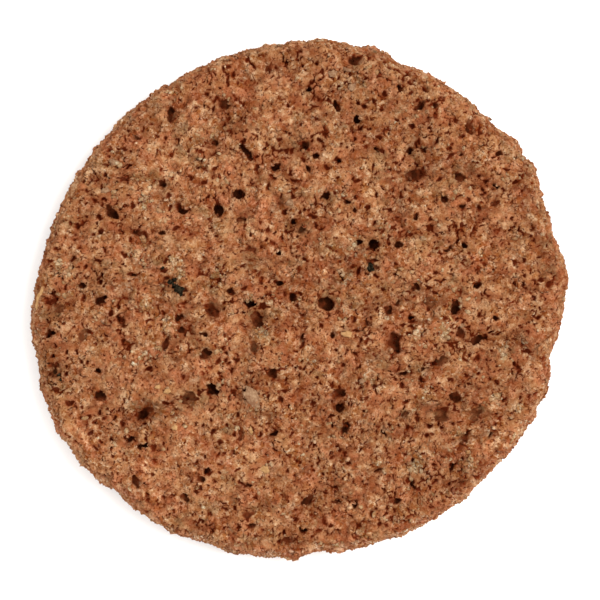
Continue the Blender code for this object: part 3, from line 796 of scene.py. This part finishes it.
upper, upper_skin = baked_half("upper_crumb", upper_points, upper_faces, True)
lower, lower_skin = baked_half("lower_crumb", lower_points, lower_faces, False)
for half in (upper, lower):
    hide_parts("biscuit")
    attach(half, "root")

# %% [markdown]
# ## The shape of a loose crumb
# Baked crumb isn't one skin. Bits of flour, sugar and oat stick out of it, each a little lighter or darker
# than the next. There are thousands and each is under 1 mm, so one is a ball of 20 faces, squashed, tilted
# and dented by its own amounts. All of a kind are worked out together as one array.

# %% The shape of a loose crumb
BALL_POINTS = 12
# Length, breadth and height as shares of a crumb's width: least and most.
CRUMB_SPANS = ((0.8, 1.25), (0.6, 0.9), (0.45, 0.75))
# Dents as a share of the radius, tilt off the skin's normal, and the power that makes small crumbs common.
CRUMB_DENT = 0.16
CRUMB_TILT = 0.5
CRUMB_POWER = 2.2
# How far above the tray a crumb's lowest point is, in mm, and the marks it takes from the skin under it.
LOWEST_CRUMB = 0.05
CRUMB_MARKS = ("rim", "hollow", "tone", "low_place")


def ball():
    """An icosahedron: 12 points at (0, 1, golden) and its turns, one long, and 20 faces."""
    golden = (1 + math.sqrt(5)) / 2
    points = [(0, a, b * golden) for a in (-1, 1) for b in (-1, 1)]
    points = np.array(points + [(y, z, x) for x, y, z in points] + [(z, x, y) for x, y, z in points], float)
    near = np.linalg.norm(points[:, None] - points[None], axis=2)
    faces = []
    for i, j, k in itertools.combinations(range(BALL_POINTS), 3):
        if max(near[i, j], near[j, k], near[i, k]) < 2.1:
            outward = np.dot(np.cross(points[j] - points[i], points[k] - points[i]), points[i]) > 0
            faces.append((i, j, k) if outward else (i, k, j))
    return points / np.linalg.norm(points[0]), np.array(faces)


def square_to(vectors):
    """A unit vector square to each of these."""
    side = np.cross(vectors, np.where(np.abs(vectors[:, :1]) < 0.6, [[1.0, 0, 0]], [[0, 1.0, 0]]))
    return side / np.linalg.norm(side, axis=1, keepdims=True)


def crumbs(name, skin, count, least, most, sunk, tints, seed, likely):
    """So many crumbs from least to most mm wide, small ones commoner, strewn over a skin's own points. Each
    is sunk by this share of its height and has a tint in this range. Likely says how likely each point is to
    hold one."""
    rng = np.random.default_rng(seed)
    at = rng.choice(len(skin["place"]), count, replace=False, p=likely / likely.sum())
    normal = skin["normal"][at]
    tilted = normal + CRUMB_TILT * rng.normal(size=(count, 3))
    tilted /= np.linalg.norm(tilted, axis=1, keepdims=True)
    side = square_to(tilted)
    turn = rng.uniform(0, 2 * math.pi, (count, 1))
    side = side * np.cos(turn) + np.cross(tilted, side) * np.sin(turn)
    axes = np.stack([side, np.cross(tilted, side), tilted], axis=1)
    width = least + (most - least) * rng.uniform(size=(count, 1)) ** CRUMB_POWER
    squash = width / 2 * np.column_stack([rng.uniform(*span, count) for span in CRUMB_SPANS])
    body, faces = ball()
    dented = body[None] * (1 + CRUMB_DENT * rng.normal(size=(count, BALL_POINTS, 1)))
    placed = np.einsum("nij,njk->nik", dented * squash[:, None], axes)
    placed += (skin["place"][at] + normal * (squash[:, 2:] * (1 - 2 * sunk)))[:, None]
    placed[:, :, 2] = np.maximum(placed[:, :, 2], LOWEST_CRUMB)
    all_faces = (faces[None] + BALL_POINTS * np.arange(count)[:, None, None]).reshape(-1, 3)
    made = mesh_object(name, placed.reshape(-1, 3) * MM, all_faces)
    marks = {"tint": rng.uniform(*tints, count)} | {mark: skin[mark][at] for mark in CRUMB_MARKS}
    keep_marks(made, {mark: np.repeat(value, BALL_POINTS) for mark, value in marks.items()})
    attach(made, "root")
    print(name, count, "crumbs,", len(all_faces), "triangles")
    return made


print("a crumb has", BALL_POINTS, "points and", len(ball()[1]), "faces")

# %% [markdown]
# ## Crumbs strewn over the skin
# Tan and brown crumbs lie all over the upper face, mostly sunk in it, and fewer fall in the pits. Starchy
# bits of oat are paler. They sit where the photo has them, and in loose clusters elsewhere. The side has its
# own crumbs, down to just above the tray.

# %% Crumbs strewn over the skin
# Where starchy bits cluster: x, y and half width in mm.
STARCH = (
    (-19.1, 12.4, 0.7), (-19.9, 5.7, 0.8), (-15.5, 4.6, 0.6), (-9.8, 2.6, 0.6), (-16.3, -2.5, 0.7),
    (-19.1, -0.6, 0.6), (-19.1, -7.2, 0.6), (-17.2, -6.1, 0.5), (-29.3, 3.8, 0.7), (-14.6, 3.0, 0.5),
    (5.6, 2.7, 0.7), (-1.0, 3.4, 0.5), (-4.9, -4.2, 0.6), (8.6, -9.4, 0.6), (-6.0, 0.1, 0.5),
    (6.7, 6.6, 0.5), (14.3, -3.9, 0.6), (17.7, -3.9, 0.6), (24.2, -12.2, 0.5), (26.8, -13.6, 0.5),
    (14.3, -20.5, 0.8), (20.9, -20.5, 0.8), (25.0, -6.4, 0.6), (28.1, -5.9, 0.6),
)
# How much likelier a starchy bit is in a cluster than in the looser ones elsewhere, and their size in mm.
STARCH_PULL = 25
STARCH_PATCH = 1.9


def near_starch(place):
    """The sum of a bell curve round each cluster of starchy bits."""
    total = np.zeros(len(place))
    for x, y, half_width in STARCH:
        total += np.exp(-((place[:, 0] - x) ** 2 + (place[:, 1] - y) ** 2) / half_width ** 2)
    return total


def on_skin(skin, in_pits):
    """How likely each point of a skin is to hold a crumb: less in pits, none on the lid."""
    likely = 1 - (1 - in_pits) * smooth_step(0.1, 0.5, skin["hollow"])
    likely[-1] = 0
    return likely


clustered = smooth_step(0.0, 0.5, rolling(upper_skin["place"], STARCH_PATCH, 30))
clustered = clustered + STARCH_PULL * near_starch(upper_skin["place"])
above_tray = smooth_step(0.3, 0.8, lower_skin["place"][:, 2])
few = 1
# Name, skin, how many, least and most width in mm, share sunk, range of tint, seed, how likely one is in a
# pit, and how likely at each point of the skin.
STREWN = (
    ("tan_crumbs", upper_skin, 7000, 0.26, 0.85, 0.69, (0.4, 1.0), 21, 0.55, 1),
    ("brown_crumbs", upper_skin, 4500, 0.22, 0.60, 0.68, (0.0, 0.5), 22, 0.8, 1),
    ("pale_oat_grains", upper_skin, 1500, 0.35, 1.0, 0.66, (0.1, 0.65), 23, 0.2, clustered),
    ("side_crumbs", lower_skin, 3000, 0.22, 0.65, 0.64, (0.2, 1.0), 24, 0.2, above_tray),
)
strewn = {}
for name, skin, count, *kind, in_pits, where in STREWN:
    strewn[name] = crumbs(name, skin, count // few, *kind, on_skin(skin, in_pits) * where)

# %% [markdown]
# ## The shape of a flake
# A few bits of the oat itself show in the upper face: bran, husk and straw. Each is a thin plate with an
# uneven outline, bent down at its ends. It is made as a squashed ball and not as a flat sheet, because a
# closed shell has a real edge that catches the light.

# %% The shape of a flake
# Thickness, and how far the ends bend down, in mm.
FLAKE_THICKNESS = 0.34
FLAKE_BEND = 0.16
# Rows between the poles, points round each, and the outline's waves: how many, and how high as a share.
FLAKE_ROWS = 9
FLAKE_AROUND = 20
FLAKE_WAVES = (2, 3, 5, 7)
FLAKE_WAVE_HEIGHT = 0.10


def flake(length, width, rng):
    """Points and triangles of one flake about the origin. With a turn from pole to pole and one round the
    rim, a point is a ball's, its outline uneven by four cosines, its height squashed, and its ends bent down
    by the square of the distance along."""
    rise = np.linspace(-math.pi / 2, math.pi / 2, FLAKE_ROWS + 2)[1:-1, None]
    turn = np.linspace(0, 2 * math.pi, FLAKE_AROUND, endpoint=False)[None]
    uneven = 1 + sum(FLAKE_WAVE_HEIGHT * np.cos(waves * turn + rng.uniform(0, 6)) for waves in FLAKE_WAVES)
    reach = np.cos(rise) ** 0.6 * uneven
    points = np.stack([reach * np.cos(turn), reach * np.sin(turn), np.sin(rise) + 0 * turn], axis=2)
    points = np.concatenate([points.reshape(-1, 3), [[0, 0, -1], [0, 0, 1]]])
    points = points * [length / 2, width / 2, FLAKE_THICKNESS / 2]
    points[:, 2] -= FLAKE_BEND * (2 * points[:, 0] / length) ** 2
    ring = np.arange(FLAKE_ROWS * FLAKE_AROUND).reshape(FLAKE_ROWS, FLAKE_AROUND)
    ring = np.concatenate([ring, ring[:, :1]], axis=1)
    low_pole = np.full(FLAKE_AROUND, FLAKE_ROWS * FLAKE_AROUND)
    low_fan = np.stack([low_pole, ring[0, 1:], ring[0, :-1]], 1)
    high_fan = np.stack([low_pole + 1, ring[-1, :-1], ring[-1, 1:]], 1)
    return points, np.concatenate([grid_faces(ring)[:, ::-1], low_fan, high_fan])


print("a flake has", len(flake(1, 1, np.random.default_rng(0))[1]), "triangles")

# %% [markdown]
# ## Flakes of bran, husk and straw
# The bran is green-black, the longest husk is a grey-beige curl, and the straw is in pale splinters. They
# are the marks by which this biscuit is known, so each has its own place. A flake lies at the height of the
# crumb under it, half sunk, because the dough closed round it as it baked.

# %% Flakes of bran, husk and straw
# Centre x and y, length and width in mm, the way the length points in degrees, and how high it stands in mm.
BRAN = (
    (-15.0, 1.4, 1.4, 1.2, 130, 0.02), (-15.9, 2.1, 1.2, 0.9, 165, -0.05), (-14.7, 0.8, 0.7, 0.6, 70, -0.02),
    (-15.3, 2.5, 0.9, 0.6, 10, -0.06), (8.7, 4.0, 1.3, 0.8, 85, -0.01), (-29.8, -9.2, 0.7, 0.5, 120, -0.04),
    (-29.5, -9.8, 0.5, 0.4, 40, -0.04), (-16.9, 4.0, 0.6, 0.4, 60, -0.06),
)
HUSK = (
    (-5.8, -12.1, 3.1, 1.7, 128, 0.10), (4.0, 27.9, 1.1, 1.0, 0, 0.08), (20.0, -3.1, 0.9, 0.5, 0, 0.05),
    (5.8, 28.4, 1.0, 0.5, 160, 0.05), (7.7, -9.9, 1.0, 0.6, 30, 0.04), (-1.3, 12.0, 1.0, 0.7, 40, 0.05),
    (-24.0, 13.5, 1.1, 0.7, 10, 0.04), (-23.0, 17.0, 1.2, 0.8, 150, 0.04), (6.5, 26.2, 1.3, 0.9, 20, 0.04),
)
STRAW = (
    (5.8, -4.2, 1.6, 0.7, 0, 0.08), (-4.3, -20.9, 1.3, 0.9, 130, 0.11), (-6.1, -16.0, 1.5, 0.6, 118, 0.10),
    (-16.3, -11.2, 1.2, 0.6, 20, 0.08), (-17.5, -10.7, 0.8, 0.6, 0, 0.06),
    (18.6, -2.3, 1.7, 0.25, 120, 0.03), (-32.0, 0.1, 3.0, 1.1, 72, 0.12), (-15.4, -15.7, 0.8, 0.7, 60, 0.05),
)
# Most slope of a flake, and how many in 100 of the skin's points near its middle lie below its own level.
FLAKE_TIP = 0.12
SKIN_PERCENTILE = 60


def flakes(name, places, skin, seed):
    """One mesh of these flakes, each turned, tipped a little, and laid at the height of the skin there."""
    rng = np.random.default_rng(seed)
    all_points, all_faces, made_so_far = [], [], 0
    for x, y, length, width, turned, proud in places:
        points, faces = flake(length, width, rng)
        turn, tip = math.radians(turned), rng.uniform(-FLAKE_TIP, FLAKE_TIP, 2)
        near = np.hypot(skin["place"][:, 0] - x, skin["place"][:, 1] - y) < 0.5 * width
        level = np.percentile(skin["place"][near & (skin["normal"][:, 2] > 0), 2], SKIN_PERCENTILE)
        height = points[:, 2] + points[:, :2] @ tip + level + proud
        flat_x = x + points[:, 0] * math.cos(turn) - points[:, 1] * math.sin(turn)
        flat_y = y + points[:, 0] * math.sin(turn) + points[:, 1] * math.cos(turn)
        all_points.append(np.stack([flat_x, flat_y, height], axis=1))
        all_faces.append(faces + made_so_far)
        made_so_far += len(points)
    made = mesh_object(name, np.concatenate(all_points) * MM, np.concatenate(all_faces))
    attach(made, "root")
    print(name, len(places), "flakes")
    return made


bran_flakes = flakes("bran_flakes", BRAN, upper_skin, 31)
husk_flakes = flakes("husk_flakes", HUSK, upper_skin, 32)
straw_bits = flakes("straw_bits", STRAW, upper_skin, 33)

# %% [markdown]
# ## The ground colour of the crumb
# Oat and wheat crumb, baked with honey, is matt and warm brown. The colour is never even: golden where the
# flour lies on top, redder where the sugar browned, and grey-brown where it is bare. So cloudy patches of 1
# to 3 mm are laid over a ground of two browns. Noise places them, as a painted map would have to be stored.

# %% The ground colour of the crumb
NOISE = "ShaderNodeTexNoise"
CELLS = "ShaderNodeTexVoronoi"
RANGE = "ShaderNodeMapRange"
MIX = "ShaderNodeMix"
MATH = "ShaderNodeMath"
VECTOR_MATH = "ShaderNodeVectorMath"
MARK = "ShaderNodeAttribute"
# The sockets of a mix of colours: its share, the colour under, the colour over, and the mixed one.
SHARE, UNDER, OVER, MIXED = 0, 6, 7, 2
# Cloud: size of its patches, noise detail and roughness, and the noise at which it begins and is full.
GROUND_CLOUD = (2.6 * MM, 4, 0.65, 0.36, 0.64)
# Patches laid over one another: size in mm, noise detail and roughness, the noise at which the patch begins
# and is full, its greatest share, and its colour. They are flour on top, browned sugar, and bare crumb.
PATCHES = (
    (1.3, 3, 0.60, 0.50, 0.66, 0.80, "B58A64"),
    (1.9, 3, 0.60, 0.54, 0.64, 0.55, "A66845"),
    (2.9, 4, 0.70, 0.55, 0.66, 0.60, "705436"),
)


def add(tree, kind, values=None, wires=None, **settings):
    """One node: settings are its properties, values go on its sockets, and wires run into them."""
    made = tree.nodes.new(kind)
    for name, value in settings.items():
        setattr(made, name, value)
    for socket, value in (values or {}).items():
        made.inputs[socket].default_value = value
    for socket, source in (wires or {}).items():
        tree.links.new(source, made.inputs[socket])
    return made


def cloud_share(tree, place, size, detail, rough, begins, full, least=0, most=1):
    """A share that goes from least to most as cloudy noise with patches of this size goes from begins to
    full."""
    cloud = add(tree, NOISE, {"Scale": 1 / size, "Detail": detail, "Roughness": rough}, {"Vector": place})
    reach = {"From Min": begins, "From Max": full, "To Min": least, "To Max": most}
    return add(tree, RANGE, reach, {"Value": cloud.outputs["Fac"]}).outputs[0]


def laid_over(tree, colour, source, begins, full, most, shade):
    """The colour with a shade over it, whose share rises to most as the source goes from begins to full."""
    share = add(tree, RANGE, {"From Min": begins, "From Max": full, "To Max": most}, {"Value": source})
    over = add(tree, MIX, {OVER: linear(shade)}, {SHARE: share.outputs[0], UNDER: colour}, data_type="RGBA")
    return over.outputs[MIXED]


def ground_colour(tree, place, red_brown, golden):
    """Two browns mixed by a cloud, and the patches over them in turn."""
    browns = {UNDER: linear(red_brown), OVER: linear(golden)}
    share = cloud_share(tree, place, *GROUND_CLOUD)
    colour = add(tree, MIX, browns, {SHARE: share}, data_type="RGBA").outputs[MIXED]
    for size, detail, rough, *laid in PATCHES:
        cloud = {"Scale": 1 / (size * MM), "Detail": detail, "Roughness": rough}
        source = add(tree, NOISE, cloud, {"Vector": place}).outputs["Fac"]
        colour = laid_over(tree, colour, source, *laid)
    return colour


print(len(PATCHES), "kinds of patch over the ground")

# %% [markdown]
# ## Grains and specks
# Close up, each grain of flour is a shade of its own, and finer specks lie over the grains. That is what
# makes crumb look dry, where one smooth brown would look like clay. They multiply the ground, because a
# grain is a paler or darker bit of the same brown. Where the crumb is close and even they are weaker.

# %% Grains and specks
DARKER = (0.67, 0.465, 0.28, 1)
LIGHTER = (1.17, 1.37, 1.58, 1)
GRAIN = 0.42 * MM
# Clouds: size, detail, roughness, and where they begin and are full. The calm one also has its least share.
SPECK_CLOUD = (0.21 * MM, 3, 0.8, 0.34, 0.66)
CALM_CLOUD = (2.2 * MM, 2, 0.5, 0.40, 0.58, 0.45)


def with_grains(tree, place, colour, tinted):
    """The colour times a shade between DARKER and LIGHTER for each grain, for each speck and, on loose
    crumbs, for each crumb's own tint."""
    lively = cloud_share(tree, place, *CALM_CLOUD)
    grain = add(tree, CELLS, {"Scale": 1 / GRAIN}, {"Vector": place})
    channel = add(tree, "ShaderNodeSeparateColor", {}, {0: grain.outputs["Color"]})
    tints = [channel.outputs[0], cloud_share(tree, place, *SPECK_CLOUD)]
    if tinted:
        tints.append(add(tree, MARK, attribute_name="tint").outputs["Fac"])
    for share in tints:
        tint = add(tree, MIX, {UNDER: DARKER, OVER: LIGHTER}, {SHARE: share}, data_type="RGBA")
        wires = {SHARE: lively, UNDER: colour, OVER: tint.outputs[MIXED]}
        colour = add(tree, MIX, {}, wires, data_type="RGBA", blend_type="MULTIPLY").outputs[MIXED]
    return colour


print("grains of", round(GRAIN / MM, 2), "mm, specks of", round(SPECK_CLOUD[0] / MM, 2), "mm")

# %% [markdown]
# ## Painted shade of pores and cracks
# Pores and hairline cracks too small for the mesh are painted as red-brown flecks of shade: thin and
# branched between the grains, and round where a pore opens. The branched ones lie where the seams of two
# patterns of cells come close, which gives short forked marks. A cloud gives the ragged spots, and the
# middles of small cells the pricks.

# %% Painted shade of pores and cracks
# Dark red-brown of the painted shade in pores and cracks.
PAINTED_PORE_SHADE = "491503"
SEAMS = (1.1 * MM, 0.83 * MM)
SPOT = 0.62 * MM
PRICK = 0.40 * MM
# Noise of a size that pushes the cells about, so that no seam is straight, and how far.
WANDER_SIZE = 0.35 * MM
WANDER_PUSH = 0.6 * MM
# Cloud that sets how near both seams a branched fleck reaches, with the least and most of it.
REACH_CLOUD = (0.9 * MM, 3, 0.6, 0.42, 0.66, 0, 0.19)
# Where each painted shade begins and is full, its greatest share and colour: branched, spot, prick.
FLECKS = ((0, 0.05, 0.85, PAINTED_PORE_SHADE), (0.40, 0.35, 0.9, PAINTED_PORE_SHADE), (0.25, 0.14, 0.72, PAINTED_PORE_SHADE))


def with_painted_pore_shade(tree, place, colour):
    """The colour with branched flecks, spots and pricks of painted shade over it."""
    wander = add(tree, NOISE, {"Scale": 1 / WANDER_SIZE, "Detail": 3}, {"Vector": place})
    wander = add(tree, VECTOR_MATH, {1: (-0.5,) * 3}, {0: wander.outputs["Color"]}, operation="ADD")
    push = {0: wander.outputs[0], 2: place}
    wander = add(tree, VECTOR_MATH, {1: (WANDER_PUSH,) * 3}, push, operation="MULTIPLY_ADD").outputs[0]
    first, second = (
        add(tree, CELLS, {"Scale": 1 / size}, {"Vector": wander}, feature="DISTANCE_TO_EDGE").outputs[0]
        for size in SEAMS
    )
    crossing = add(tree, MATH, {}, {0: first, 1: second}, operation="ADD").outputs[0]
    reach = cloud_share(tree, place, *REACH_CLOUD)
    branched = add(tree, MATH, {}, {0: reach, 1: crossing}, operation="SUBTRACT").outputs[0]
    spot = add(tree, NOISE, {"Scale": 1 / SPOT, "Detail": 4, "Roughness": 0.78}, {"Vector": place})
    prick = add(tree, CELLS, {"Scale": 1 / PRICK}, {"Vector": wander})
    for source, laid in zip((branched, spot.outputs["Fac"], prick.outputs["Distance"]), FLECKS):
        colour = laid_over(tree, colour, source, *laid)
    return colour


print(len(FLECKS), "kinds of fleck")

# %% [markdown]
# ## What the relief does to the colour
# Hollows, creases and low places get painted shade: darker and redder than the light alone would make
# them, as if light had passed from wall to wall. The marks kept on the mesh say where they are. Then the
# broad tone, and painted light on the rim, most where it faces the bottom of the picture, multiply all of
# it.

# %% What the relief does to the colour
# Laid over in turn: mark, where it begins and is full, its greatest share, and its colour.
# The first four rows are painted shade in low places, creases and holes; the dull row is the crumb's own
# colour.
MARKS = (
    ("low_place", 0.00, 1.00, 0.26, "662E14"),
    ("crease", 0.00, 1.00, 0.32, "561A06"),
    ("hollow", 0.10, 0.50, 0.90, "65220A"),
    ("hollow", 0.44, 0.88, 0.90, "2E0802"),
    ("dull", 0.00, 1.00, 0.38, "553F27"),
)
# Multiplied in turn: mark, its lowest value, the shade there, and the shade at 1.
TONE_SHADES = (
    ("tone", -1, (0.69, 0.64, 0.61, 1), (1.18, 1.22, 1.25, 1)),
    # The rim's two shades are painted light: paler and bluer towards the outline.
    ("rim", 0, (1, 1, 1, 1), (1.24, 1.36, 1.55, 1)),
)


def with_marks(tree, colour):
    """The colour with the marks' colours over it, most of them painted shade, then times the tone and
    the rim's painted light.
    """
    for name, *laid in MARKS:
        mark = add(tree, MARK, attribute_name=name).outputs["Fac"]
        colour = laid_over(tree, colour, mark, *laid)
    for name, least, low_shade, high_shade in TONE_SHADES:
        mark = add(tree, MARK, attribute_name=name).outputs["Fac"]
        share = add(tree, RANGE, {"From Min": least, "From Max": 1}, {"Value": mark}).outputs[0]
        tint = add(tree, MIX, {UNDER: low_shade, OVER: high_shade}, {SHARE: share}, data_type="RGBA")
        wires = {UNDER: colour, OVER: tint.outputs[MIXED]}
        colour = add(tree, MIX, {SHARE: 1}, wires, data_type="RGBA", blend_type="MULTIPLY").outputs[MIXED]
    return colour


print("marks:", [name for name, *_ in MARKS + TONE_SHADES])

# %% [markdown]
# ## The crumb's materials
# The layers are put together here, with a fine grit that is too small for the mesh, so it is only bump. Dry
# crumb has no gloss, so its specular level is nought. The skin, the loose crumbs and the starch are the same
# stuff, and differ in their two browns.

# %% The crumb's materials
CRUMB_ROUGHNESS = 0.82
PLANT_IOR = 1.45
GRIT = 0.25 * MM


def make_matt(shader, roughness):
    """Dry plant stuff: rough, with no gloss."""
    shader.inputs["Roughness"].default_value = roughness
    shader.inputs["IOR"].default_value = PLANT_IOR
    shader.inputs["Specular IOR Level"].default_value = 0.0


def crumb_material(name, red_brown, golden, tinted):
    """Baked crumb: ground, grains, painted pore shade and marks in turn, and grit as a bump."""
    material, tree, shader = new_material(name)
    place = add(tree, "ShaderNodeTexCoord").outputs["Object"]
    colour = ground_colour(tree, place, red_brown, golden)
    colour = with_grains(tree, place, colour, tinted)
    colour = with_painted_pore_shade(tree, place, colour)
    tree.links.new(with_marks(tree, colour), shader.inputs["Base Color"])
    make_matt(shader, CRUMB_ROUGHNESS)
    grit = add(tree, NOISE, {"Scale": 1 / GRIT, "Detail": 2, "Roughness": 0.7}, {"Vector": place})
    bump = add(tree, "ShaderNodeBump", {"Strength": 0.8, "Distance": GRIT}, {"Height": grit.outputs["Fac"]})
    tree.links.new(bump.outputs["Normal"], shader.inputs["Normal"])
    return material


def dress(pieces, material):
    """Gives each piece this one material."""
    for piece in pieces:
        piece.data.materials.clear()
        piece.data.materials.append(material)


# Crumb of oat and wheat flour, baked with honey: matt and warm brown.
dress([upper, lower], crumb_material("baked_oat_and_honey_crumb", "8E5334", "9C6E47", False))
# The same crumb in loose bits, a little paler because they dried first.
loose = [strewn[name] for name in ("tan_crumbs", "brown_crumbs", "side_crumbs")]
dress(loose, crumb_material("baked_loose_crumb", "8E5334", "A4764F", True))
# Starchy bits of oat that didn't brown: pale and greyish.
dress([strewn["pale_oat_grains"]], crumb_material("baked_oat_starch", "9A7B58", "B79974", True))
print("materials:", [m.name for m in bpy.data.materials])

# %% [markdown]
# ## The flakes' materials
# Bran, husk and straw are skins and stems of the grain, dried by the oven and as matt as the crumb. Fibre
# shows as fine streaks of two shades. The bran was milled small, so its streaks are the finest.

# %% The flakes' materials
FLAKE_ROUGHNESS = 0.6
# Detail and roughness of the streaks' noise, and where the second shade begins and is full.
STREAKS = (4, 0.7, 0.42, 0.64)


def flake_material(name, shade, worn_shade, streak_mm):
    """Skin or stem of the grain: two shades in streaks of this size."""
    material, tree, shader = new_material(name)
    place = add(tree, "ShaderNodeTexCoord").outputs["Object"]
    share = cloud_share(tree, place, streak_mm * MM, *STREAKS)
    shades = {UNDER: linear(shade), OVER: linear(worn_shade)}
    colour = add(tree, MIX, shades, {SHARE: share}, data_type="RGBA")
    tree.links.new(colour.outputs[MIXED], shader.inputs["Base Color"])
    make_matt(shader, FLAKE_ROUGHNESS)
    return material


# Bran, the grain's dark skin: nearly black, with green-grey worn places.
dress([bran_flakes], flake_material("milled_oat_bran", "030201", "2E271C", 0.22))
# Husk, the leaf round the grain: grey-beige, because it holds no sugar to brown.
dress([husk_flakes], flake_material("baked_oat_husk", "6C4B35", "8E7156", 0.5))
# Straw, bits of the stem: paler and more yellow than the crumb round it.
dress([straw_bits], flake_material("baked_oat_straw", "8C6842", "A88158", 0.5))
print("materials:", [m.name for m in bpy.data.materials])
